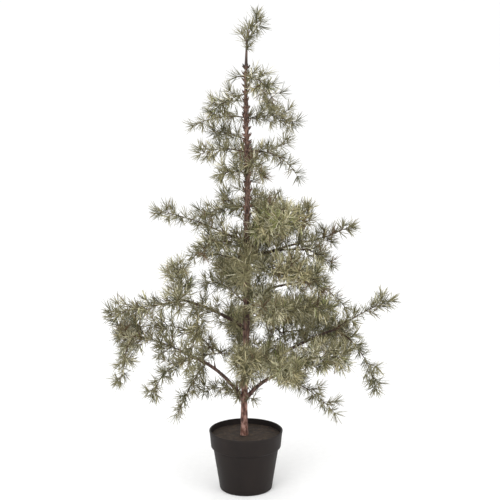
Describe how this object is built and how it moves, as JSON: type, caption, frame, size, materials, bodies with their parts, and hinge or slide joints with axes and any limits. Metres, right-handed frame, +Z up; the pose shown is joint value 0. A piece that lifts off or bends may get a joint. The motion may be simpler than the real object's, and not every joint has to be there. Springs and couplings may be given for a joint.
{
  "type": "artificial cedar tree in a pot",
  "caption": "Slim potted artificial cedar tree with wired boughs, loose tufts of short needles and a plain round nursery pot.",
  "frame": {"origin": "centre of the pot's flat underside, where the tree stands", "axes": "+Z up along the trunk, -Y towards the tree's front, +X to its right"},
  "size_m": [0.7063, 0.4806, 1.196],
  "materials": {
    "pot": "matt black moulded plastic, faintly scuffed",
    "filler": "rough brown cast plug",
    "bark": "dull red-brown wrapped stem with raised scars",
    "needles": "dusty olive and grey-green needles"
  },
  "bodies": {
    "root": {"pot": "pot", "filler": "filler", "trunk": "bark", "bough_low_left": "bark", "bough_low_right": "bark", "bough_right_inner": "bark", "bough_right_outer": "bark", "bough_left_upper": "bark", "bough_right_low": "bark", "bough_right_long": "bark", "bough_mid_right": "bark", "bough_mid_left": "bark", "foliage_leader": "needles", "foliage_crest_right": "needles", "foliage_crest_left": "needles", "foliage_upper_right": "needles", "foliage_upper_left": "needles", "foliage_upper_left_low": "needles", "foliage_left_high": "needles", "foliage_left_high_low": "needles", "foliage_right_high": "needles", "foliage_right_high_tip": "needles", "foliage_right_high_hang": "needles", "foliage_back_high": "needles", "foliage_shoulder_left": "needles", "foliage_shoulder_right": "needles", "foliage_mid_left_tip": "needles", "foliage_mid_left_low": "needles", "foliage_mid_left_grey": "needles", "foliage_mid_right_full": "needles", "foliage_mid_right_tuft": "needles", "foliage_right_long": "needles", "foliage_right_mid": "needles", "foliage_mid_right_low": "needles", "foliage_right_trailing": "needles", "foliage_front_mid": "needles", "foliage_back_mid": "needles", "foliage_back_mid_low": "needles", "foliage_left_clump": "needles", "foliage_left_thin": "needles", "foliage_left_outer_top": "needles", "foliage_left_inner": "needles", "foliage_left_outer": "needles", "foliage_left_hang_outer": "needles", "foliage_left_hang_mid": "needles", "foliage_left_hang_inner": "needles", "foliage_front_left": "needles", "foliage_left_low_back": "needles", "foliage_low_left_thin": "needles", "foliage_front_low": "needles", "foliage_front_right": "needles", "foliage_right_front": "needles", "foliage_right_low_top": "needles", "foliage_right_low_mid": "needles", "foliage_right_low_near": "needles", "foliage_right_outer_tip": "needles", "foliage_right_hang_outer": "needles", "foliage_right_hanging": "needles", "foliage_back_low": "needles", "foliage_back_right": "needles"}
  },
  "joints": []
}
